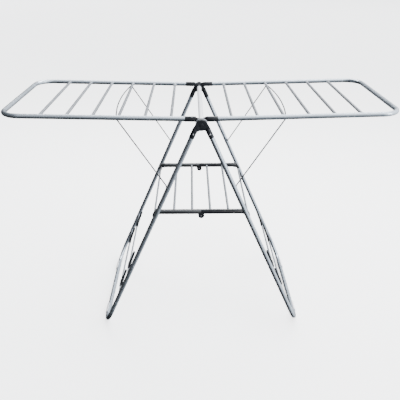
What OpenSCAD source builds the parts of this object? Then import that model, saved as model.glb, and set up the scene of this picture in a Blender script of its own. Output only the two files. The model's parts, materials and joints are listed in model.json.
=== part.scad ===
// Folding clothes drying rack: two crossed U-shaped leg frames and two hinged
// wings turn on one steel axle, a folding shelf joins the legs, and a wire
// bail props up each wing. Millimetres, +Z up, origin on the floor under the
// middle. The right half is modelled and the left half is the same half,
// turned by half a turn about the vertical.

/* [Hub] */
// Height of the hub's axle above the floor
hub_h = 915; // [850:5:1000]
// Radius of the steel axle
axle_r = 4; // [3:0.5:5]
// Radius of the eyes at the tops of the legs
leg_eye_r = 20.5; // [18:0.5:21]
// Radius of the web that leads from a leg eye into its sleeve
eye_web_r = 16; // [12:1:18]
// Width of two lapped leg eyes together
leg_hub_w = 18; // [14:1:19]
// Radius of the eyes at the inner ends of the wings
wing_eye_r = 15; // [12:0.5:16]
// Width of two lapped wing eyes together
wing_hub_w = 18; // [14:1:19]
// Radius of the collar between the wing eyes and the leg eyes
collar_r = 22; // [18:0.5:22]
// Radius of the tube between the two hubs
hub_tube_r = 9.5; // [8:0.5:12]
// Wall of the tube between the two hubs
hub_tube_wall = 1.2; // [1:0.1:2]
// Thickness of that tube's end walls
hub_tube_end = 3; // [2:0.5:6]
// Radius of the caps on the axle
cap_r = 7; // [6:0.5:9]
// Thickness of the caps on the axle
cap_t = 2.5; // [2:0.1:4]
// Depth of the axle's seat in a cap
cap_seat = 1.5; // [1:0.1:1.6]

/* [Tubes] */
// Outer radius of the bent leg and wing tubes
tube_r = 9; // [8:0.5:9.5]
// Wall of the bent tubes
tube_wall = 1; // [0.8:0.1:1.5]
// Wall of the thin tubes that serve as rods
rod_wall = 0.8; // [0.6:0.1:1.2]
// Wall of the sleeves that hold the bent tubes
sleeve_wall = 0.9; // [0.7:0.1:1.2]
// Radius of the rivet shanks
rivet_r = 1.6; // [1.2:0.1:2]
// Radius of the rivet heads
rivet_head_r = 3; // [2.5:0.1:4]
// Height of the rivet heads
rivet_head_h = 1; // [0.6:0.1:1.5]

/* [Legs] */
// Angle between each leg and the vertical
leg_angle = 24; // [20:1:26]
// Distance from the axle out to the plane of the leg frame
leg_offset = 14; // [13:0.5:16]
// Bend radius of the leg frame's corners
leg_corner = 85; // [60:5:100]
// Where the leg sleeve starts, measured from the axle
leg_sleeve_start = 22; // [21:1:28]
// Where the leg sleeve ends, measured from the axle
leg_sleeve_end = 60; // [50:1:80]
// Radius of the rods across the legs
cross_rod_r = 4; // [3:0.5:4.5]
// Distance from the axle to the rod that carries the shelf
shelf_rod_d = 432; // [400:1:460]
// Distance from the bottom tube up to the lower shoe rod
lower_rod_up = 159; // [140:1:170]
// Distance between the two shoe rods
shoe_rod_gap = 101; // [88:1:120]

/* [Wings] */
// Rise of the opened wings above the horizontal
wing_rise = 1.3; // [0:0.1:2.5]
// Distance from the axle up to the plane of the wing
wing_offset = 15; // [14:0.5:17]
// Half the depth of the wing frames, on the tube's centreline
wing_half_depth = 282; // [250:1:320]
// Distance from the axle to the wing's end tube
wing_reach = 735; // [700:1:760]
// Bend radius of the wing frame's corners
wing_corner = 70; // [40:5:100]
// Where the wing sleeve starts, measured from the axle
wing_sleeve_start = 20; // [20:0.5:26]
// Where the wing sleeve ends, measured from the axle
wing_sleeve_end = 61; // [50:1:80]
// Number of rods across one wing
wing_rods = 6; // [4:1:6]
// Radius of the rods across the wings
wing_rod_r = 5.5; // [4:0.5:6]
// Distance from the axle to the first rod
first_rod_x = 111.5; // [100:0.5:125]
// Distance between neighbouring rods
rod_pitch = 96; // [90:1:98]

/* [Wire props] */
// Radius of the wire
wire_r = 2.5; // [1.5:0.1:2.7]
// Bend radius of the wire's corners
wire_bend = 8; // [6:1:14]
// Distance from the axle to the wire's pivot in the leg tube
prop_pivot_d = 290; // [270:1:310]
// Distance from the leg tube's centreline out to that pivot
prop_pivot_out = 5; // [3:0.5:6]
// Rod of the wing that the wire stands behind
prop_rod = 3; // [2:1:3]
// Distance from that rod out to the wire
prop_past_rod = 8.5; // [8:0.5:14]
// Gap between the wire and the rods of the opened wing above it
prop_gap = 0.4; // [0.3:0.1:1.5]
// Bow of the wire's crossbar at its middle
prop_bow = 19; // [10:1:25]
// Gap between the wing tube and the wire beside it
prop_side_gap = 3; // [2:0.5:6]
// Reach of the wire's end past the leg tube's inner face
prop_grip = 7; // [4:0.5:8]

/* [Shelf] */
// Radius of the bars at the shelf's front and back
bar_r = 10; // [8:0.5:10]
// Height of the bars' centres above the shelf's pivots
bar_rise = 14; // [13.5:0.5:15]
// Gap between a bar and the wire prop beside it
bar_side_gap = 1; // [0.6:0.1:3]
// Distance from a leg's rod in to the end of a bar
bar_inset = 10; // [8:0.5:14]
// Radius of the rods across the shelf
shelf_rod_r = 5; // [3:0.5:6]
// Distance between the rods across the shelf
shelf_rod_pitch = 73; // [66:1:76]
// Depth of a rod's seat in its bar
shelf_rod_seat = 6; // [4:0.5:8]
// Radius of the round knuckles in the middle of the shelf
knuckle_r = 12; // [10:0.5:12]
// Radius of the pins in the knuckles
knuckle_pin_r = 2.5; // [2:0.25:3]
// Width of the hooks that sit on the leg rods
hook_w = 16; // [12:1:17]
// Wall of the hooks
hook_wall = 4; // [2.5:0.5:5]

/* [Shoe pegs] */
// Distance from a leg tube in to a peg's centre
peg_in = 112; // [80:1:160]
// Height of a peg above its rod
peg_h = 74; // [60:1:76]
// Width of a peg at its rod
peg_base = 46; // [36:1:70]
// Radius of a peg's rounded tip
peg_tip_r = 8; // [7.5:0.5:12]
// Thickness of a peg
peg_t = 8; // [5:0.5:9]
// Thickness of the web inside a peg's rim
peg_web = 2.4; // [1.5:0.1:4]
// Width of a peg's rim
peg_rim = 3.5; // [2.5:0.5:6]
// Lean of the pegs out of the leg frame's plane
peg_lean = 3; // [0:0.5:10]
// Wall of a peg's socket around its rod
peg_wall = 2.5; // [2:0.5:4]

/* [Feet] */
// Length of a foot along the bottom tube
foot_len = 60; // [40:1:64]
// Distance from a leg tube in to a foot's centre
foot_in = 122; // [118:1:180]
// Thickness of a foot under its tube
foot_floor = 2.5; // [2:0.1:3]
// Wall of a foot around its tube
foot_wall = 3; // [3:0.1:4.5]

/* [Fits] */
// Radial clearance of what turns in a hole
turn_gap = 0.08; // [0.03:0.01:0.1]
// Radial clearance of what is pressed into a seat
seat_gap = 0.05; // [0.02:0.01:0.1]
// Gap between faces that slide past each other
lap_gap = 0.3; // [0.2:0.05:0.4]
// Gap between the folded wing's sleeve and the leg's sleeve
side_gap = 0.5; // [0.4:0.1:2]

/* [Hidden] */
SIDES = ["left", "right"];
ENDS = ["near", "far"];
PEG_ROWS = ["upper", "lower"];

$fn = 64;
cut = 1;                // how far a cutting solid runs past what it cuts
wide = 2000;            // larger than the whole rack
silver_paint = "silver";
black_plastic = [0.13, 0.13, 0.15];
grey_plastic = [0.72, 0.73, 0.78];
steel = [0.6, 0.6, 0.62];

sleeve_r = tube_r + seat_gap + sleeve_wall;
tube_bore_r = tube_r - tube_wall;
tube_start_gap = 6;     // solid stretch of a sleeve before its tube starts
leg_tube_start = leg_sleeve_start + tube_start_gap;
wing_tube_start = wing_sleeve_start + tube_start_gap;
leg_half_depth = wing_half_depth + 2 * sleeve_r + side_gap;
leg_inner_face = leg_half_depth - tube_r;
leg_reach = (hub_h + leg_offset * sin(leg_angle) - tube_r - foot_floor) / cos(leg_angle);
lower_rod_d = leg_reach - lower_rod_up;
upper_rod_d = lower_rod_d - shoe_rod_gap;
peg_y = leg_half_depth - peg_in;
foot_y = leg_half_depth - foot_in;

// Faces of the hub, measured from the middle
wing_eye_inner = wing_half_depth - wing_hub_w / 2;
wing_eye_outer = wing_half_depth + wing_hub_w / 2;
leg_eye_inner = leg_half_depth - leg_hub_w / 2;
leg_eye_outer = leg_half_depth + leg_hub_w / 2;
cap_inner = leg_eye_outer + lap_gap / 2;
axle_half = cap_inner + cap_seat;

// The shelf's pivots
shelf_x = leg_offset * cos(leg_angle) + shelf_rod_d * sin(leg_angle);
shelf_z = hub_h + leg_offset * sin(leg_angle) - shelf_rod_d * cos(leg_angle);

// The wire prop, as lines in the XZ plane from the axle
prop_y = wing_half_depth - tube_r - prop_side_gap - wire_r;
prop_out = leg_offset + prop_pivot_out;
prop_foot = [
    prop_pivot_d * sin(leg_angle) + prop_out * cos(leg_angle),
    -prop_pivot_d * cos(leg_angle) + prop_out * sin(leg_angle)];
prop_top_x = first_rod_x + (prop_rod - 1) * rod_pitch + prop_past_rod;
prop_top_h = wing_offset - wing_rod_r - prop_gap - wire_r;
prop_top = [
    prop_top_x * cos(wing_rise) - prop_top_h * sin(wing_rise),
    prop_top_x * sin(wing_rise) + prop_top_h * cos(wing_rise)];
prop_run = prop_top - prop_foot;
prop_len = norm(prop_run);
prop_angle = atan2(prop_run[1], prop_run[0]);
// Slope of the bowed crossbar at its ends, and the corner that leads into it
bow_dir = wing_rise - prop_angle;
bow_slope = 2 * atan(prop_bow / (prop_y - wire_bend));
corner_turn = acos(sin(bow_slope) * cos(bow_dir));
corner_tilt = atan2(-sin(bow_slope) * sin(bow_dir), cos(bow_slope));
corner_side = wire_bend * (1 - cos(corner_turn));
strut_end = prop_len - wire_bend * sin(corner_turn);
crossbar_half = prop_y - corner_side * cos(corner_tilt);
crossbar_drop = corner_side * sin(corner_tilt);
crossbar_r = crossbar_half / sin(bow_slope);
bend_lead = 2;          // degrees that a bend runs on at each of its ends
bend_relief = 0.01;     // how much thinner a bend is than the straight wire

// The shelf's bars and knuckles
bar_y = prop_y - wire_r - bar_side_gap - bar_r;
bar_end = shelf_x - bar_inset;
hook_hole_r = cross_rod_r + turn_gap;
hook_r = hook_hole_r + hook_wall;

// Which half of a lapped pair a piece takes: the inner half at the near end
// (end = -1) and the outer half at the far end (end = 1)
function lap_y(end, middle, width) =
    end > 0 ? [middle + lap_gap / 2, middle + width / 2]
            : [-middle + lap_gap / 2, -middle + width / 2];

// Outline of a peg, pointing to -X, drawn smaller by the inset
function peg_outline(inset) = concat(
    [[-inset, -peg_base / 2 + inset], [-inset, peg_base / 2 - inset]],
    [for (a = [80:-20:-80])
        [-(peg_h - peg_tip_r) - (peg_tip_r - inset) * cos(a), (peg_tip_r - inset) * sin(a)]]);

// --- Shared construction -------------------------------------------------

// Places the right half's piece on the side that is asked for
module on_side(side) {
    rotate([0, 0, side == "left" ? 180 : 0]) children();
}

// Turns an end's name into -1 or 1 in the right half's own frame
function end_sign(side, end) = (side == "left" ? -1 : 1) * (end == "far" ? 1 : -1);

// Frame at the axle with +X down the right leg and +Z out of it
module along_leg() {
    translate([0, 0, hub_h]) rotate([0, 90 - leg_angle, 0]) children();
}

// Frame at the axle with +X along the right wing and +Z out of it
module along_wing() {
    translate([0, 0, hub_h]) rotate([0, -wing_rise, 0]) children();
}

// Cylinder along Y between two places
module y_cylinder(r, from, to) {
    translate([0, from, 0]) rotate([-90, 0, 0]) cylinder(r = r, h = to - from);
}

// Flat outline in XZ, thickened along Y between two places
module y_slab(y) {
    translate([0, y[1], 0]) rotate([90, 0, 0]) linear_extrude(y[1] - y[0]) children();
}

// Cylinder along X
module x_cylinder(r, from, to) {
    translate([from, 0, 0]) rotate([0, 90, 0]) cylinder(r = r, h = to - from);
}

module pipe(length) {
    difference() {
        cylinder(r = tube_r, h = length);
        translate([0, 0, -cut]) cylinder(r = tube_bore_r, h = length + 2 * cut);
    }
}

module pipe_bend(radius) {
    rotate_extrude(angle = 90) translate([radius, 0]) difference() {
        circle(r = tube_r);
        circle(r = tube_bore_r);
    }
}

// Bent tube frame: two long sides and an end, open towards the axle
module bent_frame(start, reach, half_depth, corner) {
    for (y = [-half_depth, half_depth])
        translate([start, y, 0]) rotate([0, 90, 0]) pipe(reach - corner - start);
    translate([reach, corner - half_depth, 0]) rotate([-90, 0, 0])
        pipe(2 * (half_depth - corner));
    for (s = [-1, 1])
        translate([reach - corner, s * (half_depth - corner), 0])
            rotate([0, 0, s > 0 ? 0 : -90]) pipe_bend(corner);
}

// Rod across a frame, its ends cut to lie against the side tubes
module coped_rod(x, r, half_depth) {
    difference() {
        translate([x, 0, 0]) y_cylinder(r, tube_r / 2 - half_depth, half_depth - tube_r / 2);
        translate([x, 0, 0]) y_cylinder(r - rod_wall, -half_depth, half_depth);
        for (y = [-half_depth, half_depth])
            translate([0, y, 0]) x_cylinder(tube_r, x - 2 * r, x + 2 * r);
    }
}

// --- Hub -----------------------------------------------------------------

module hub_axle() {
    color(steel) translate([0, 0, hub_h]) y_cylinder(axle_r, -axle_half, axle_half);
}

module hub_caps() {
    color(black_plastic) translate([0, 0, hub_h]) for (s = [-1, 1]) rotate([0, 0, s > 0 ? 0 : 180])
        difference() {
            y_cylinder(cap_r, cap_inner, cap_inner + cap_t);
            y_cylinder(axle_r + seat_gap, cap_inner - cut, axle_half);
        }
}

module hub_collars() {
    color(grey_plastic) translate([0, 0, hub_h]) for (s = [-1, 1]) rotate([0, 0, s > 0 ? 0 : 180])
        difference() {
            y_cylinder(collar_r, wing_eye_outer + lap_gap / 2, leg_eye_inner - lap_gap / 2);
            y_cylinder(axle_r + turn_gap, wing_eye_outer - cut, leg_eye_inner + cut);
        }
}

module hub_tube() {
    half = wing_eye_inner - lap_gap / 2;
    color(grey_plastic) translate([0, 0, hub_h]) difference() {
        y_cylinder(hub_tube_r, -half, half);
        y_cylinder(hub_tube_r - hub_tube_wall, hub_tube_end - half, half - hub_tube_end);
        y_cylinder(axle_r + turn_gap, -half - cut, half + cut);
    }
}

// --- Legs ----------------------------------------------------------------

module leg_tube(side) {
    color(silver_paint) on_side(side) along_leg() difference() {
        translate([0, 0, leg_offset])
            bent_frame(leg_tube_start, leg_reach, leg_half_depth, leg_corner);
        for (s = [-1, 1]) {
            translate([prop_pivot_d, 0, prop_out])
                y_cylinder(wire_r + turn_gap, s > 0 ? leg_inner_face - cut : -leg_half_depth,
                    s > 0 ? leg_half_depth : cut - leg_inner_face);
            leg_rivet_hole(s);
        }
    }
}

leg_rivet_d = (leg_tube_start + leg_sleeve_end) / 2;
rivet_grip = sleeve_r - tube_bore_r + 2 * rivet_head_h;   // shank length under the head

module leg_rivet_hole(s) {
    outside = leg_half_depth + sleeve_r;
    translate([leg_rivet_d, 0, leg_offset])
        y_cylinder(rivet_r + seat_gap, s > 0 ? leg_half_depth : -outside - cut,
            s > 0 ? outside + cut : -leg_half_depth);
}

module leg_bracket(side, end) {
    s = end_sign(side, end);
    color(black_plastic) on_side(side) along_leg() difference() {
        union() {
            y_slab(lap_y(s, leg_half_depth, leg_hub_w)) leg_eye();
            translate([0, s * leg_half_depth, leg_offset])
                x_cylinder(sleeve_r, leg_sleeve_start, leg_sleeve_end);
        }
        y_cylinder(axle_r + turn_gap, -wide, wide);
        translate([0, s * leg_half_depth, leg_offset])
            x_cylinder(tube_r + seat_gap, leg_tube_start, leg_sleeve_end + cut);
        leg_rivet_hole(s);
    }
}

// The web's arc touches the eye's rim and the sleeve's inner edge, and turns
// about a point beyond both
eye_edge = sleeve_r - sleeve_wall;
web_b = leg_offset - eye_edge - eye_web_r;
web_d = sqrt(pow(leg_eye_r + eye_web_r, 2) - web_b * web_b);
web_from = 90 + atan2(web_d, -web_b);

module leg_eye() {
    edge = eye_edge;
    circle(r = leg_eye_r);
    polygon(concat([[0, 0]],
        [for (i = [0:8]) let (a = web_from - i * (web_from - 90) / 8)
            [web_d, web_b] + eye_web_r * [cos(a), sin(a)]],
        [[web_d, leg_offset]]));
    polygon([
        [0, leg_offset - edge], [0, leg_eye_r],
        [leg_sleeve_start + tube_start_gap / 2, leg_offset + edge],
        [leg_sleeve_start + tube_start_gap / 2, leg_offset - edge]]);
}

module leg_rivets(side) {
    outside = leg_half_depth + sleeve_r;
    color(steel) on_side(side) along_leg() translate([leg_rivet_d, 0, leg_offset])
        for (s = [-1, 1]) rotate([0, 0, s > 0 ? 0 : 180]) {
            y_cylinder(rivet_r, outside - rivet_grip, outside);
            y_cylinder(rivet_head_r, outside, outside + rivet_head_h);
        }
}

module leg_rod(side, d) {
    color(silver_paint) on_side(side) along_leg() translate([0, 0, leg_offset])
        coped_rod(d, cross_rod_r, leg_half_depth);
}

module shoe_peg(side, row, end) {
    d = row == "upper" ? upper_rod_d : lower_rod_d;
    color(black_plastic) on_side(side) along_leg()
        translate([d, end_sign(side, end) * peg_y, leg_offset]) difference() {
            union() {
                y_cylinder(cross_rod_r + seat_gap + peg_wall, -peg_base / 2, peg_base / 2);
                rotate([0, peg_lean, 0]) difference() {
                    translate([0, 0, -peg_t / 2]) linear_extrude(peg_t) polygon(peg_outline(0));
                    translate([0, 0, peg_web - peg_t / 2]) linear_extrude(peg_t)
                        polygon(peg_outline(peg_rim));
                }
            }
            y_cylinder(cross_rod_r + seat_gap, -peg_base, peg_base);
        }
}

module feet(side) {
    foot_r = tube_r + seat_gap + foot_wall;
    color(grey_plastic) on_side(side) difference() {
        along_leg() for (y = [-foot_y, foot_y])
            translate([leg_reach, y + foot_len / 2, leg_offset]) rotate([90, 0, 0])
                rotate([0, 0, -75]) rotate_extrude(angle = 215)
                    translate([tube_r + seat_gap, 0]) square([foot_wall, foot_len]);
        translate([-wide / 2, -wide / 2, -foot_r]) cube([wide, wide, foot_r]);
    }
}

// --- Wings ---------------------------------------------------------------

wing_rivet_x = (wing_tube_start + wing_sleeve_end) / 2;

module wing_rivet_hole(s) {
    translate([wing_rivet_x, s * wing_half_depth, wing_offset])
        cylinder(r = rivet_r + seat_gap, h = sleeve_r + cut);
}

module wing_tube(side) {
    color(silver_paint) on_side(side) along_wing() difference() {
        translate([0, 0, wing_offset])
            bent_frame(wing_tube_start, wing_reach, wing_half_depth, wing_corner);
        for (s = [-1, 1]) wing_rivet_hole(s);
    }
}

module wing_eye() {
    edge = sleeve_r - sleeve_wall;
    circle(r = wing_eye_r);
    polygon([
        [0, -wing_eye_r], [0, wing_eye_r],
        [wing_sleeve_start + tube_start_gap / 2, wing_offset + edge],
        [wing_sleeve_start + tube_start_gap / 2, wing_offset - edge]]);
}

module wing_bracket(side, end) {
    s = end_sign(side, end);
    color(black_plastic) on_side(side) along_wing() difference() {
        union() {
            y_slab(lap_y(s, wing_half_depth, wing_hub_w)) wing_eye();
            translate([0, s * wing_half_depth, wing_offset])
                x_cylinder(sleeve_r, wing_sleeve_start, wing_sleeve_end);
        }
        y_cylinder(axle_r + turn_gap, -wide, wide);
        translate([0, s * wing_half_depth, wing_offset])
            x_cylinder(tube_r + seat_gap, wing_tube_start, wing_sleeve_end + cut);
        wing_rivet_hole(s);
    }
}

module wing_rivets(side) {
    color(steel) on_side(side) along_wing() for (s = [-1, 1])
        translate([wing_rivet_x, s * wing_half_depth, wing_offset + sleeve_r]) {
            translate([0, 0, -rivet_grip]) cylinder(r = rivet_r, h = rivet_grip);
            cylinder(r = rivet_head_r, h = rivet_head_h);
        }
}

module wing_rod(side, i) {
    color(silver_paint) on_side(side) along_wing() translate([0, 0, wing_offset])
        coped_rod(first_rod_x + (i - 1) * rod_pitch, wing_rod_r, wing_half_depth);
}

// --- Wire props ----------------------------------------------------------

// Bend of the wire: a hair thinner than the straight pieces and run a little
// way into them, so that they join in one solid
module wire_corner(angle) {
    rotate([0, 0, -bend_lead]) rotate_extrude(angle = angle + 2 * bend_lead)
        translate([wire_bend, 0]) circle(r = wire_r - bend_relief);
}

// One end of the wire: pin in the leg tube, bend, strut and corner
module wire_strut() {
    pivot_y = prop_y + wire_bend;
    y_cylinder(wire_r, pivot_y, leg_inner_face + prop_grip);
    translate([wire_bend, pivot_y, 0]) rotate([0, 0, 180]) wire_corner(90);
    translate([0, prop_y, 0]) x_cylinder(wire_r, wire_bend, strut_end);
    translate([strut_end, prop_y, 0]) rotate([corner_tilt, 0, 0])
        translate([0, -wire_bend, 0]) rotate([0, 0, 90 - corner_turn])
            wire_corner(corner_turn);
}

module wire_prop(side) {
    back = crossbar_r * cos(bow_slope);
    color(steel) on_side(side) translate([prop_foot[0], 0, hub_h + prop_foot[1]])
        rotate([0, -prop_angle, 0]) {
            wire_strut();
            mirror([0, 1, 0]) wire_strut();
            translate([prop_len - back * cos(bow_dir), 0, -crossbar_drop - back * sin(bow_dir)])
                rotate([0, -bow_dir, 0]) rotate([0, 0, -bow_slope])
                    rotate_extrude(angle = 2 * bow_slope)
                        translate([crossbar_r, 0]) circle(r = wire_r);
        }
}

// --- Shelf ---------------------------------------------------------------

// Hook over the leg's rod: the left one also grips the rod from below, and
// the right one lifts off its rod as the rack folds
module hook(grips) {
    lowest = grips ? -150 : -20;
    reach = 2 * hook_r;
    difference() {
        union() {
            intersection() {
                circle(r = hook_r);
                polygon(concat([[0, 0]], [for (a = [lowest:10:90]) reach * [cos(a), sin(a)]]));
            }
            polygon([
                [-2 * bar_inset, bar_rise - bar_r], [-2 * bar_inset, bar_rise + bar_r - cut],
                [cut - bar_inset + hook_wall, bar_rise + bar_r - cut],
                [hook_r * cos(20), hook_r * sin(20)], [0, bar_rise - bar_r]]);
        }
        circle(r = hook_hole_r);
    }
}

module shelf_bar(side, end) {
    s = end_sign(side, end);
    middle = s * bar_y;
    color(black_plastic) on_side(side) translate([0, 0, shelf_z]) difference() {
        union() {
            difference() {
                translate([0, middle, bar_rise]) x_cylinder(bar_r, lap_gap / 2, bar_end);
                y_slab([middle - bar_r - cut, middle + lap_gap / 2])
                    circle(r = knuckle_r + lap_gap);
            }
            y_slab(lap_y(s, bar_y, 2 * bar_r)) circle(r = knuckle_r);
            translate([shelf_x, 0, 0]) y_slab([middle - hook_w / 2, middle + hook_w / 2])
                hook(side == "left");
        }
        y_cylinder(knuckle_pin_r + turn_gap, -wide, wide);
        for (i = [1, 2]) translate([shelf_rod_x(i), 0, bar_rise])
            y_cylinder(shelf_rod_r + seat_gap, -shelf_rod_half - seat_gap, shelf_rod_half + seat_gap);
    }
}

function shelf_rod_x(i) = (i - 0.5) * shelf_rod_pitch;
shelf_rod_half = bar_y - bar_r + shelf_rod_seat;

module shelf_rod(side, i) {
    color(silver_paint) on_side(side) translate([shelf_rod_x(i), 0, shelf_z + bar_rise])
        difference() {
            y_cylinder(shelf_rod_r, -shelf_rod_half, shelf_rod_half);
            y_cylinder(shelf_rod_r - rod_wall, -shelf_rod_half - cut, shelf_rod_half + cut);
        }
}

module shelf_pins() {
    half = bar_r - lap_gap;
    color(steel) translate([0, 0, shelf_z]) for (y = [-bar_y, bar_y])
        y_cylinder_at(knuckle_pin_r, y, half);
}

module y_cylinder_at(r, middle, half) {
    y_cylinder(r, middle - half, middle + half);
}

// --- Assembly ------------------------------------------------------------

hub_axle();
hub_caps();
hub_collars();
hub_tube();
for (s = SIDES) {
    leg_tube(s);
    leg_rivets(s);
    leg_rod(s, shelf_rod_d);
    leg_rod(s, upper_rod_d);
    leg_rod(s, lower_rod_d);
    feet(s);
    wing_tube(s);
    wing_rivets(s);
    wire_prop(s);
    for (i = [1:wing_rods])
        wing_rod(s, i);
    for (i = [1:2])
        shelf_rod(s, i);
    for (e = ENDS) {
        leg_bracket(s, e);
        wing_bracket(s, e);
        shelf_bar(s, e);
        for (row = PEG_ROWS)
            shoe_peg(s, row, e);
    }
}
shelf_pins();
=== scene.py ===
# %% [markdown]
# # A folding clothes drying rack
# The rack arrives as a finished frame: every tube, rod, bracket and peg is
# already in its place and at its size. This lesson gives the pieces their
# looks: silver-grey paint, moulded plastic, weld beads, and the small
# mouldings that the plain solids leave out. First the frame is loaded.
# Nothing that is added may make the rack larger.

import json
import math

import bmesh
import bpy
from mathutils import Matrix, Vector


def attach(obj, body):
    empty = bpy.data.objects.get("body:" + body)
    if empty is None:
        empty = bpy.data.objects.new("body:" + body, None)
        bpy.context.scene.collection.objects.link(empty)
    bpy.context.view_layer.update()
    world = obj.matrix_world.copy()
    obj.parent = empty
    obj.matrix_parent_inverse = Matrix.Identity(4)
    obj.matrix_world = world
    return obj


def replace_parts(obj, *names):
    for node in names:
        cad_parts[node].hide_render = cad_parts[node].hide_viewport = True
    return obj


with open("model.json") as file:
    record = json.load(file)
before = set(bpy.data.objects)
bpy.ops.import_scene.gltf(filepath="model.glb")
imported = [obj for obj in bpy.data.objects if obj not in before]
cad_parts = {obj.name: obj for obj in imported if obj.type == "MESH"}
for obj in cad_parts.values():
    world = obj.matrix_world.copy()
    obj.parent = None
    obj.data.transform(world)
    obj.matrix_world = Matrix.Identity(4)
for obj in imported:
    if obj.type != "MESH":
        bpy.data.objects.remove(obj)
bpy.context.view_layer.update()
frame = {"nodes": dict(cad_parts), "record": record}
nodes = frame["nodes"]

# %% [markdown]
# ## Camera
# The rack is seen from the front, a little from above, as one sees it on
# coming into a laundry room. A camera could be aimed with a constraint, but
# two angles say the same with nothing extra in the scene.

# %% Camera
EYE = Vector((-0.0365, -2.1127, 1.4728))
LOOK_DOWN = 0.443
LOOK_RIGHT = 0.017
LENS = 46.6

camera_data = bpy.data.cameras.new("camera")
camera_data.lens = LENS
camera = bpy.data.objects.new("camera", camera_data)
bpy.context.scene.collection.objects.link(camera)
camera.location = EYE
camera.rotation_euler = (math.pi / 2 - LOOK_DOWN, 0, -LOOK_RIGHT)
bpy.context.scene.camera = camera
print("camera at", tuple(EYE))

# %% [markdown]
# ## Lamps
# Point lamps would be the simplest, but they leave a hard dot on a round
# tube, where a long soft box draws a line along it. So two soft boxes stand
# above and beside the rack, and a sun with a wide disc fills the rest and
# gives each foot a faint shadow.


# %% Lamps
def add_lamp(name, lamp, direction, place=(0, 0, 0)):
    """Puts a lamp in the scene and turns it to shine in a direction."""
    holder = bpy.data.objects.new(name, lamp)
    bpy.context.scene.collection.objects.link(holder)
    holder.location = place
    holder.rotation_euler = Vector(direction).to_track_quat("-Z", "Y").to_euler()
    print("lamp", name)


def soft_box(name, place, aim, width, height, power):
    """A rectangular lamp that shines from one place towards another."""
    lamp = bpy.data.lights.new(name, "AREA")
    lamp.shape = "RECTANGLE"
    lamp.size = width
    lamp.size_y = height
    lamp.energy = power
    add_lamp(name, lamp, Vector(aim) - Vector(place), place)


def soft_sun(name, direction, strength, spread):
    """A sun with a wide disc, so that its shadows are soft."""
    lamp = bpy.data.lights.new(name, "SUN")
    lamp.energy = strength
    lamp.angle = spread
    add_lamp(name, lamp, direction)


RACK_MIDDLE = (0, 0, 0.6)
soft_sun("sky_light", (-0.25, 0.3, -1), 1.4, math.radians(50))
soft_box("top_light", (0.3, 1.6, 2.9), RACK_MIDDLE, 3.4, 1.0, 170)
soft_box("side_light", (2.8, -1.8, 1.8), RACK_MIDDLE, 1.0, 2.0, 60)

# %% [markdown]
# ## Arithmetic for materials
# Paint and plastic are never one even colour. Their patterns come from noise
# that is added, multiplied and cut off, and that is arithmetic. It could be
# built by linking Math nodes one by one, but a formula is easier to read. So
# a small class stands for the output of a node, and its operators add the
# Math nodes.


# %% Values as expressions
class Signal:
    """A node's output that can be added, multiplied and so on."""

    def __init__(self, tree, socket):
        self.tree = tree
        self.socket = socket

    def maths(self, operation, first, second):
        """Adds one Math node and gives back its result."""
        node = self.tree.nodes.new("ShaderNodeMath")
        node.operation = operation
        for place, value in zip(node.inputs, (first, second)):
            put(self.tree, place, value)
        return Signal(self.tree, node.outputs[0])

    def __add__(self, other):
        return self.maths("ADD", self, other)

    def __radd__(self, other):
        return self.maths("ADD", other, self)

    def __sub__(self, other):
        return self.maths("SUBTRACT", self, other)

    def __rsub__(self, other):
        return self.maths("SUBTRACT", other, self)

    def __mul__(self, other):
        return self.maths("MULTIPLY", self, other)

    def __rmul__(self, other):
        return self.maths("MULTIPLY", other, self)

    def __pow__(self, other):
        return self.maths("POWER", self, other)


def put(tree, place, value):
    """Sets a socket to a number or colour, or links a signal to it."""
    if isinstance(value, Signal):
        tree.links.new(value.socket, place)
    else:
        place.default_value = value


print("a signal knows these from both sides:",
      [name for name in vars(Signal) if name.startswith("__r")])

# %% [markdown]
# ## Graphs and finishes
# Every other node comes from one method: it takes the node's type, then its
# settings, then the values or links of its sockets. A function for each type
# of node would do as well, but it would repeat the same few lines. A graph
# can be the dome of light round the rack or a material. A finish is a graph
# that ends in the shader of one material, with the noise and relief that all
# of them use.


# %% Graphs
class Graph:
    """A tree of nodes that grows node by node."""

    def __init__(self, tree):
        self.tree = tree

    def node(self, kind, settings=None, sockets=None, output=0):
        """Adds a node of any kind: first its settings, then its sockets."""
        node = self.tree.nodes.new(kind)
        for setting, value in (settings or {}).items():
            if setting == "stops":
                self.set_stops(node.color_ramp, value)
            else:
                setattr(node, setting, value)
        for socket, value in (sockets or {}).items():
            put(self.tree, node.inputs[socket], value)
        return Signal(self.tree, node.outputs[output])

    @staticmethod
    def set_stops(ramp, stops):
        """Gives a ramp its stops, as pairs of a position and a grey."""
        while len(ramp.elements) < len(stops):
            ramp.elements.new(1)
        for element, (position, grey) in zip(ramp.elements, stops):
            element.position = position
            element.color = (grey, grey, grey, 1)

    def ramp(self, signal, *stops):
        """Sends a signal through a ramp of greys."""
        return self.node("ShaderNodeValToRGB", {"stops": stops}, {"Fac": signal})

    def blend(self, factor, first, second):
        """Mixes two colours: the first where the factor is 0, the second where it is 1."""
        return self.node("ShaderNodeMix", {"data_type": "RGBA"},
                         {0: factor, 6: first, 7: second}, output=2)

    def part(self, vector, axis):
        """One of the three parts of a vector."""
        return self.node("ShaderNodeSeparateXYZ", sockets={"Vector": vector}, output=axis)


print("a graph can make", [name for name in vars(Graph) if not name.startswith("__")])


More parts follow.
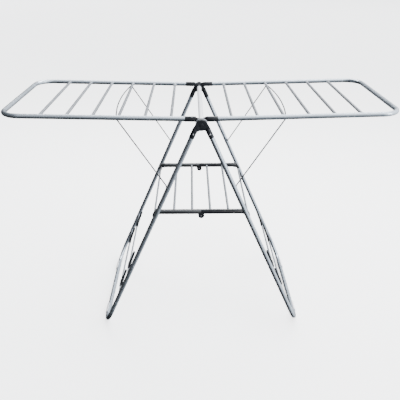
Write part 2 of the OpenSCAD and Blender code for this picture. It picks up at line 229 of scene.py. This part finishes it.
# %% Finishes
class Finish(Graph):
    """One material, built node by node."""

    def __init__(self, name):
        self.material = bpy.data.materials.new(name)
        self.material.use_nodes = True
        super().__init__(self.material.node_tree)
        self.shader = self.tree.nodes["Principled BSDF"]
        self.place = self.node("ShaderNodeTexCoord", output="Object")

    def noise(self, scale, detail=3, roughness=0.5, stretch=(1, 1, 1)):
        """Noise in the rack's own space, stretched along its axes."""
        where = self.node("ShaderNodeMapping", sockets={"Vector": self.place, "Scale": stretch})
        return self.node("ShaderNodeTexNoise", sockets={
            "Vector": where, "Scale": scale, "Detail": detail, "Roughness": roughness})

    def bump(self, height, strength, distance, under=None):
        """Relief, on top of the relief under it."""
        sockets = {"Height": height, "Strength": strength, "Distance": distance}
        if under is not None:
            sockets["Normal"] = under
        return self.node("ShaderNodeBump", sockets=sockets)

    def finish(self, **values):
        """Sets or links the shader's sockets and gives back the material."""
        for name, value in values.items():
            put(self.tree, self.shader.inputs[name.replace("_", " ")], value)
        print("material", self.material.name, "nodes", len(self.tree.nodes))
        return self.material


print("a finish adds", [name for name in vars(Finish) if not name.startswith("__")])

# %% [markdown]
# ## The dome round the rack
# Most of what one sees on a smooth tube is its surroundings. The dome is
# bright overhead and falls off to the ground, so that a tube that lies level
# shades from light to dark, and it is dim on the left and has a glow on the
# right, so that a leg shades across its width. A picture could be used, but
# three ramps on the direction of the light are enough, and smoother.


# %% A dome that is bright above and on the right
LEFT_GLIMMER = 0.08
FALL_TO_GROUND = 2.2
GLOW_EDGE = 1.5


def studio_dome(above, right, tint):
    """The light that reaches the rack from all around it."""
    world = bpy.data.worlds.new("studio")
    world.use_nodes = True
    sky = Graph(world.node_tree)
    toward = sky.node("ShaderNodeTexCoord", output="Generated")

    def grade(axis, start, end):
        """Rises from 0 to 1 along one axis, between two places on the dome."""
        return sky.node("ShaderNodeMapRange", sockets={
            "Value": sky.part(toward, axis), "From Min": start, "From Max": end})

    overhead = grade("Z", -1.1, 1) ** FALL_TO_GROUND
    shaded_left = LEFT_GLIMMER + (1 - LEFT_GLIMMER) * grade("X", -0.6, 0.5)
    glow = grade("X", 0.1, 0.9) ** GLOW_EDGE
    background = world.node_tree.nodes["Background"].inputs
    put(sky.tree, background["Strength"], above * overhead * shaded_left + right * glow)
    put(sky.tree, background["Color"], tint)
    print("dome nodes", len(world.node_tree.nodes))
    return world


bpy.context.scene.world = studio_dome(above=4.9, right=2.4, tint=(0.93, 0.96, 1.0, 1))

# %% [markdown]
# ## Silver-grey paint
# The bent tubes and the rods are steel with a sprayed silver-grey coat. It is
# half gloss, with fine metal flakes in it and the faint ripple of sprayed
# paint, and its colour drifts slightly along a tube. Where hands and hangers
# rub, the coat is a little duller, or scratched. An image of paint would need
# the tubes to be unwrapped. Noise in space needs nothing of the kind, and
# noise of several sizes gives all of these, each size feeding only what it
# changes on a real coat.

# %% Paint
SCRATCH = (0.19, 0.19, 0.2, 1)
FLAKE_FINENESS = 2600
FLAKE_SHINE = 1.5
RIPPLE_FINENESS = 420


def sprayed_paint(name, light, dark, gloss, metal):
    """Metallic paint: two near colours, flakes, rubbed places and scratches."""
    paint = Finish(name)
    drift = paint.ramp(paint.noise(9, detail=2), (0.3, 0), (0.7, 1))
    colour = paint.blend(drift, dark, light)
    flakes = paint.ramp(paint.noise(FLAKE_FINENESS, detail=1), (0.62, 0), (0.8, 1))
    shine = [part * FLAKE_SHINE for part in light[:3]] + [1]
    colour = paint.blend(flakes * 0.35, colour, shine)
    rubbed = paint.ramp(paint.noise(55, detail=5, roughness=0.65), (0.5, 0), (0.68, 1))
    scratch = paint.ramp(paint.noise(160, detail=4, stretch=(0.25, 1, 3)), (0.66, 0), (0.72, 1))
    colour = paint.blend(scratch * 0.3, colour, SCRATCH)
    ripple = paint.bump(paint.noise(RIPPLE_FINENESS, detail=2), 0.1, 0.0008)
    surface = paint.bump(paint.noise(FLAKE_FINENESS, detail=1), 0.06, 0.0004, ripple)
    rough = gloss + 0.12 * rubbed + 0.1 * scratch
    return paint.finish(Base_Color=colour, Metallic=metal, Roughness=rough, Normal=surface)


tube_paint = sprayed_paint(
    "tube_paint", (0.37, 0.41, 0.46, 1), (0.30, 0.34, 0.38, 1), gloss=0.24, metal=0.9)
rod_paint = sprayed_paint(
    "rod_paint", (0.44, 0.46, 0.49, 1), (0.36, 0.38, 0.41, 1), gloss=0.2, metal=0.95)
weld_paint = sprayed_paint(
    "weld_paint", (0.38, 0.41, 0.45, 1), (0.27, 0.29, 0.33, 1), gloss=0.4, metal=0.8)
wire_paint = sprayed_paint(
    "wire_paint", (0.030, 0.031, 0.034, 1), (0.020, 0.021, 0.024, 1), gloss=0.42, metal=0.3)

# %% [markdown]
# ## Bare steel
# The axle, pins and rivets are plain plated steel: bright, with faint turning
# marks and dull patches where the plating has aged. The marks could be cut
# into the mesh, but they are finer than a hair. So noise that is squeezed
# along the axle, to leave marks that run round it, serves as relief.


# %% Steel
FRESH_PLATING = (0.55, 0.55, 0.56, 1)
AGED_PLATING = (0.38, 0.38, 0.4, 1)


def plated_steel(name):
    """Plated steel with aged patches and turning marks."""
    steel = Finish(name)
    patches = steel.ramp(steel.noise(260, detail=4), (0.35, 0), (0.7, 1))
    colour = steel.blend(patches, FRESH_PLATING, AGED_PLATING)
    turning = steel.noise(900, detail=2, stretch=(1, 6, 1))
    return steel.finish(Base_Color=colour, Metallic=1.0, Roughness=0.22 + 0.25 * patches,
                        Normal=steel.bump(turning, 0.12, 0.0003))


bare_steel = plated_steel("bare_steel")

# %% [markdown]
# ## Moulded plastic
# Brackets, pegs and shelf bars are black plastic from a spark-eroded mould, so
# they have an even fine grain. Corners that are touched become smoother and a
# little paler, and dust settles as a soft grey bloom on what faces up. The
# feet and the tube between the hubs are the same plastic in light grey. A
# collar is grey, and its faces that look to the rack's middle are painted
# black as painted shade. One function with a few colours serves all of them,
# which keeps their grain alike.


# %% Plastic
GRAIN_FINENESS = 1900
INWARD = -4.0


def moulded_plastic(name, colour, worn, dust, rough, sheen, inner_shade_colour=None):
    """Plastic of one colour; a shade colour, if given, is painted on the faces that look to the
    rack's middle as painted shade.
    """
    plastic = Finish(name)
    edge = plastic.node("ShaderNodeNewGeometry", output="Pointiness")
    edge = plastic.ramp(edge, (0.51, 0), (0.58, 1))
    patches = plastic.ramp(plastic.noise(35, detail=5, roughness=0.6), (0.38, 0), (0.72, 1))
    normal = plastic.node("ShaderNodeNewGeometry", output="Normal")
    up = plastic.ramp(plastic.part(normal, "Z"), (0.2, 0), (1, 1))
    bloom = up * (0.35 + 0.65 * patches)
    shade = plastic.blend(bloom * 0.4, colour, dust)
    shade = plastic.blend(edge * (0.3 + 0.5 * patches), shade, worn)
    # Painted shade: the faces that look to the rack's middle take the shade colour, as if they
    # were in shadow.
    if inner_shade_colour is not None:
        inner_face_shade = plastic.part(normal, "Y") * plastic.part(plastic.place, "Y") * INWARD
        shade = plastic.blend(plastic.ramp(inner_face_shade, (0.5, 0), (0.8, 1)), shade, inner_shade_colour)
    grain = plastic.noise(GRAIN_FINENESS, detail=2, roughness=0.6)
    flow = plastic.noise(70, detail=2)
    surface = plastic.bump(grain, 0.35, 0.0003, plastic.bump(flow, 0.08, 0.001))
    return plastic.finish(Base_Color=shade, Roughness=rough + 0.15 * patches - 0.12 * edge,
                          Specular_IOR_Level=sheen, Normal=surface)


# %% The plastics of the rack
BLACK_WORN = (0.014, 0.016, 0.02, 1)
BLACK_DUST = (0.010, 0.012, 0.016, 1)

black_plastic = moulded_plastic(
    "black_plastic", (0.005, 0.0065, 0.0095, 1), BLACK_WORN, BLACK_DUST, rough=0.4, sheen=0.22)
bar_plastic = moulded_plastic(
    "bar_plastic", (0.005, 0.006, 0.008, 1), BLACK_WORN, BLACK_DUST, rough=0.28, sheen=0.45)
grey_plastic = moulded_plastic(
    "grey_plastic", (0.68, 0.68, 0.72, 1), (0.76, 0.76, 0.79, 1), (0.7, 0.7, 0.72, 1),
    rough=0.42, sheen=0.45)
# The collar's inner faces are painted black as painted shade.
collar_plastic = moulded_plastic(
    "collar_plastic", (0.42, 0.44, 0.49, 1), (0.5, 0.52, 0.56, 1), (0.46, 0.48, 0.52, 1),
    rough=0.4, sheen=0.4, inner_shade_colour=(0.006, 0.0075, 0.0105, 1))

# %% [markdown]
# ## Dressing the frame
# The record says which stock each node is made of. Materials could be given
# one by one, but one table turns a stock into a finish, and only the collars
# and the glossier shelf bars differ from their stock.

# %% Give every node its finish
FINISH_OF_SLOT = {
    "tube_paint": tube_paint, "rod_paint": rod_paint, "prop_wire": wire_paint,
    "bare_steel": bare_steel, "black_plastic": black_plastic, "grey_plastic": grey_plastic}

slot_of_node = {s["node"]: s["material_slot"] for s in frame["record"]["subparts"]}


def finish_of(name):
    """The finish of a node of the frame."""
    if name == "hub_collars":
        return collar_plastic
    if "shelf_bar" in name:
        return bar_plastic
    return FINISH_OF_SLOT[slot_of_node[name]]


for name, node in nodes.items():
    for slot in node.material_slots:
        slot.material = finish_of(name)
    for face in node.data.polygons:
        face.use_smooth = True
print("dressed", len(nodes), "nodes")

# %% [markdown]
# ## Soft edges
# No moulded edge is quite sharp: the mould and the tumbling after it leave a
# radius of about half a millimetre, which catches a thin line of light. The
# pieces could be built anew with round edges, but a Bevel modifier rounds the
# edges of the solids that are there, after a Weld modifier has joined the
# loose faces that come from the frame.

# %% Rounded edges of the moulded parts
EDGE_RADIUS = 0.0005
SHARPEST_SMOOTH = math.radians(35)
JOIN_WITHIN = 1e-6


def soften(node):
    """Rounds the sharp edges of one moulded node."""
    weld = node.modifiers.new("join", "WELD")
    weld.merge_threshold = JOIN_WITHIN
    bevel = node.modifiers.new("edge", "BEVEL")
    bevel.width = EDGE_RADIUS
    bevel.segments = 2
    bevel.limit_method = "ANGLE"
    bevel.angle_limit = SHARPEST_SMOOTH
    bevel.use_clamp_overlap = True
    bevel.harden_normals = True


moulded = [name for name in nodes
           if slot_of_node[name] in ("black_plastic", "grey_plastic") and name != "hub_caps"]
for name in moulded:
    soften(nodes[name])
print("softened", len(moulded), "nodes")

# %% [markdown]
# ## Where things are
# The small pieces that follow sit on tubes that slope, so each is described in
# the frame of its tube: along the tube, across the rack, and out of the plane
# of the bent frame. One matrix for each leg and each wing carries such places
# into the rack, so no slope is worked out twice. The left half is the right
# half, turned by half a turn.

# %% Frames of the legs and wings
HUB_HEIGHT = 0.915
LEG_SLOPE = math.radians(66)
WING_RISE = math.radians(1.3)
LEG_OUT = 0.014
WING_OUT = 0.015
LEG_HALF_DEPTH = 0.3024
WING_HALF_DEPTH = 0.282
TUBE_R = 0.009
SLEEVE_R = 0.00995
SIDES = ("left", "right")

HUB = Matrix.Translation((0, 0, HUB_HEIGHT))
HALF = {"right": Matrix.Identity(4), "left": Matrix.Rotation(math.pi, 4, "Z")}
TO_X = Matrix.Rotation(math.pi / 2, 4, "Y")
TO_Y = {end: Matrix.Rotation(-end * math.pi / 2, 4, "X") for end in (1, -1)}


def on_leg(side, along=0.0, across=0.0):
    """Place on a leg: X down the leg, Y across the rack, Z out."""
    return (HALF[side] @ HUB @ Matrix.Rotation(LEG_SLOPE, 4, "Y")
            @ Matrix.Translation((along, across, LEG_OUT)))


def on_wing(side, along=0.0, across=0.0):
    """Place on a wing: X out along the wing, Y across the rack, Z up."""
    return (HALF[side] @ HUB @ Matrix.Rotation(-WING_RISE, 4, "Y")
            @ Matrix.Translation((along, across, WING_OUT)))


print("right leg's corner of the hub", tuple(on_leg("right", 0, LEG_HALF_DEPTH).translation))

# %% [markdown]
# ## Skins
# All the small pieces are round in one way or another. They could start from
# ready-made rings and cones, but a skin stretched over loops of points makes
# any of them, and its loops can lie on a bent line as well as a straight one.


# %% Skins between loops of points
def circle(steps):
    """Angles once round."""
    return [2 * math.pi * step / steps for step in range(steps)]


def skin(mesh, loops, joined=False):
    """Joins loops of points, one after the other, with four-sided faces."""
    rows = [[mesh.verts.new(point) for point in loop] for loop in loops]
    for row, after in zip(rows, rows[1:] + rows[:1] if joined else rows[1:]):
        for i in range(len(row)):
            mesh.faces.new((row[i - 1], row[i], after[i], after[i - 1]))
    return rows


def turned(mesh, place, profile, joined=False, steps=40):
    """Turns a profile of (radius, height) about the Z axis of a place."""
    loops = [[place @ Vector((r * math.cos(a), r * math.sin(a), h)) for a in circle(steps)]
             for r, h in profile]
    return skin(mesh, loops, joined)


def turned_head(mesh, place, profile, steps=40):
    """Turns a profile and closes it at both of its ends."""
    rows = turned(mesh, place, profile, steps=steps)
    mesh.faces.new(rows[0])
    mesh.faces.new(rows[-1])


# %% From a mesh to a piece
CREASE = math.radians(40)


def make_piece(name, mesh, finish, body):
    """Turns a finished mesh into a piece that moves with a body."""
    bmesh.ops.recalc_face_normals(mesh, faces=mesh.faces[:])
    data = bpy.data.meshes.new(name)
    mesh.to_mesh(data)
    mesh.free()
    data.materials.append(finish)
    for face in data.polygons:
        face.use_smooth = True
    data.set_sharp_from_angle(angle=CREASE)
    piece = bpy.data.objects.new(name, data)
    bpy.context.scene.collection.objects.link(piece)
    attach(piece, body)
    print("made", name, "faces", len(data.polygons))
    return piece


# %% [markdown]
# ## Weld beads
# Each rod is coped, which means that its end is cut to lie on the round side
# of a tube, and then welded. The bead follows that saddle-shaped line and has
# the even ripple of a welding machine. A bevelled curve could be laid there,
# but its size can't ripple so finely. So a circle of points is carried round
# the line, and it swells and shrinks a little on the way.

# %% One bead
BEAD_R = 0.0013
BEAD_STEPS = 72
BEAD_SIDES = 10
RIPPLES = 18
RIPPLE_SHARE = 0.2


def weld_bead(mesh, place, rod_r, half_depth, end):
    """One bead round the end of a rod, whose middle is at the place."""
    loops = []
    for turn in circle(BEAD_STEPS):
        out = Vector((math.cos(turn), 0, math.sin(turn)))
        reach = half_depth - math.sqrt(TUBE_R ** 2 - (rod_r * math.sin(turn)) ** 2)
        middle = out * rod_r + Vector((0, end * reach, 0))
        size = BEAD_R * (1 + RIPPLE_SHARE * math.sin(RIPPLES * turn))
        loops.append([
            place @ (middle + size * (math.cos(a) * out - Vector((0, end * math.sin(a), 0))))
            for a in circle(BEAD_SIDES)])
    skin(mesh, loops, joined=True)


# %% Beads on every rod
LEG_RODS = (0.432, 0.7352, 0.8362)
CROSS_ROD_R = 0.004
FIRST_WING_ROD = 0.1115
WING_ROD_PITCH = 0.096
WING_RODS = tuple(FIRST_WING_ROD + WING_ROD_PITCH * i for i in range(6))
WING_ROD_R = 0.0055

for side in SIDES:
    for body, place_on, rods, rod_r, half_depth in (
            (side + "_leg", on_leg, LEG_RODS, CROSS_ROD_R, LEG_HALF_DEPTH),
            (side + "_wing", on_wing, WING_RODS, WING_ROD_R, WING_HALF_DEPTH)):
        beads = bmesh.new()
        for along in rods:
            for end in (-1, 1):
                weld_bead(beads, place_on(side, along), rod_r, half_depth, end)
        make_piece(body + "_welds", beads, weld_paint, body)

# %% [markdown]
# ## Rivets
# A pressed rivet holds each tube in its sleeve and has a low domed head. A
# squashed ball would do from afar, but a turned outline gives the true low
# crown with its upright rim. The heads take the place of the frame's discs.

# %% Domed rivet heads
RIVET_DOME = ((0.0030, -0.0002), (0.0030, 0.0003), (0.0026, 0.0006), (0.0018, 0.00085),
              (0.0008, 0.00097), (0.0001, 0.001))
RIVET_STEPS = 24
LEG_RIVET = 0.044
WING_RIVET = 0.0435
ON_SLEEVE = Matrix.Translation((0, 0, SLEEVE_R))

for side in SIDES:
    rivets = {"_leg": bmesh.new(), "_wing": bmesh.new()}
    for end in (-1, 1):
        on_side = on_leg(side, LEG_RIVET, end * (LEG_HALF_DEPTH + SLEEVE_R)) @ TO_Y[end]
        on_top = on_wing(side, WING_RIVET, end * WING_HALF_DEPTH) @ ON_SLEEVE
        turned_head(rivets["_leg"], on_side, RIVET_DOME, RIVET_STEPS)
        turned_head(rivets["_wing"], on_top, RIVET_DOME, RIVET_STEPS)
    for part, mesh in rivets.items():
        body = side + part
        heads = make_piece(body + "_rivet_heads", mesh, bare_steel, body)
        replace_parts(heads, body + "_rivets")

# %% [markdown]
# ## Axle caps
# The axle ends in thin spring caps, each with a rounded crown and a dimple
# round its middle. The caps could be bevelled discs, but the dimple needs an
# outline of its own, so they are turned like the rivets.

# %% Crowned caps
CAP_CROWN = ((0.0046, -0.0001), (0.0068, -0.0001), (0.0070, 0.0001), (0.0070, 0.0013),
             (0.0067, 0.0019), (0.0058, 0.0023), (0.0044, 0.0024), (0.0040, 0.0020),
             (0.0034, 0.0020), (0.0030, 0.0023), (0.0016, 0.0025), (0.0001, 0.0025))
CAP_SEAT = 0.31155

caps = bmesh.new()
for end in (-1, 1):
    turned_head(caps, HUB @ Matrix.Translation((0, end * CAP_SEAT, 0)) @ TO_Y[end], CAP_CROWN)
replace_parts(make_piece("axle_caps", caps, black_plastic, "left_leg"), "hub_caps")

# %% [markdown]
# ## Lips of the sleeves
# The sleeves of the brackets end in a thin moulded lip, with two finer rings
# behind it for grip. Relief in the material could hint at them, but they
# catch the light at the outline too, so they are real rings of a rounded
# section, turned about the tube. They are so low that folded sleeves clear.

# %% Lips and grip rings
LIP_RISE = 0.0002
LIP_FOOT = 0.0003
LIP_WIDTH = 0.0024
LIP_BACK = 0.0012
GRIP_WIDTH = 0.0011
GRIPS_BACK = (0.0058, 0.0084)
LEG_MOUTH = 0.060
WING_MOUTH = 0.061


def ring(height, width):
    """Rounded section of a ring on a sleeve: its foot lies under the surface."""
    foot, rise = SLEEVE_R - LIP_FOOT, SLEEVE_R + LIP_RISE
    shoulder = SLEEVE_R + LIP_RISE * 0.6
    return [(foot, height - width / 2), (shoulder, height - width / 2),
            (rise, height - width / 4), (rise, height + width / 4),
            (shoulder, height + width / 2), (foot, height + width / 2)]


for side in SIDES:
    for body, place_on, half_depth, mouth in (
            (side + "_leg", on_leg, LEG_HALF_DEPTH, LEG_MOUTH),
            (side + "_wing", on_wing, WING_HALF_DEPTH, WING_MOUTH)):
        lips = bmesh.new()
        for end in (-1, 1):
            place = place_on(side, mouth, end * half_depth) @ TO_X
            turned(lips, place, ring(-LIP_BACK, LIP_WIDTH), joined=True)
            for back in GRIPS_BACK:
                turned(lips, place, ring(-back, GRIP_WIDTH), joined=True)
        make_piece(body + "_sleeve_lips", lips, black_plastic, body)

# %% [markdown]
# ## Rims of the eyes
# The outer face of the outermost leg eye, one at each end of the axle, has a
# raised rim round its edge and a smaller one round the cap. They are turned
# about the axle, because a rim must stay round when the leg swings about it.

# %% Rims
EYE_FACE = 0.3114
OUTER_RIM = ((0.0176, -0.0002), (0.0178, 0.0004), (0.0186, 0.0007), (0.0196, 0.0007),
             (0.0202, 0.0004), (0.0204, -0.0002))
INNER_RIM = ((0.0082, -0.0002), (0.0084, 0.0004), (0.0092, 0.0006), (0.0098, 0.0004),
             (0.0100, -0.0002))

for side, end in (("left", -1), ("right", 1)):
    rim = bmesh.new()
    place = HUB @ Matrix.Translation((0, end * EYE_FACE, 0)) @ TO_Y[end]
    turned(rim, place, OUTER_RIM, joined=True, steps=72)
    turned(rim, place, INNER_RIM, joined=True, steps=48)
    make_piece(side + "_eye_rim", rim, black_plastic, side + "_leg")

# %% [markdown]
# ## Floor
# A plain plane would end at a horizon. Here a pale floor sweeps up far away
# into a pale wall all round, as the paper sweep of a studio does. It glows a
# little, to be evenly pale, but neither lights the tubes nor is mirrored in
# them, which see the dome instead, and it throws no shadow.

# %% Floor
FLOOR_R = 14
SWEEP_R = 3
SWEEP_STEPS = 8
WALL_TOP = 14
FLOOR_RINGS = (0.01, 4, 9)
outline = [(radius, 0) for radius in FLOOR_RINGS]
for step in range(SWEEP_STEPS + 1):
    lift = math.radians(90 * step / SWEEP_STEPS)
    outline.append((FLOOR_R + SWEEP_R * math.sin(lift), SWEEP_R * (1 - math.cos(lift))))
outline.append((FLOOR_R + SWEEP_R, WALL_TOP))

studio = bmesh.new()
studio.faces.new(turned(studio, Matrix.Identity(4), outline, steps=96)[0])
bmesh.ops.recalc_face_normals(studio, faces=studio.faces[:])
floor_mesh = bpy.data.meshes.new("floor")
studio.to_mesh(floor_mesh)
studio.free()
floor_mesh.flip_normals()
floor_mesh.polygons.foreach_set("use_smooth", [True] * len(floor_mesh.polygons))

# %% Finish of the floor
PALE = (0.88, 0.88, 0.88, 1)
WHITE = (1, 1, 1, 1)
FLOOR_GLOW = 1.6

floor_mesh.materials.append(Finish("pale_floor").finish(
    Base_Color=PALE, Roughness=0.9, Emission_Color=WHITE, Emission_Strength=FLOOR_GLOW))
floor = bpy.data.objects.new("floor", floor_mesh)
bpy.context.scene.collection.objects.link(floor)
floor.visible_diffuse = False
floor.visible_glossy = False
floor.visible_shadow = False
print("floor faces", len(floor_mesh.polygons))
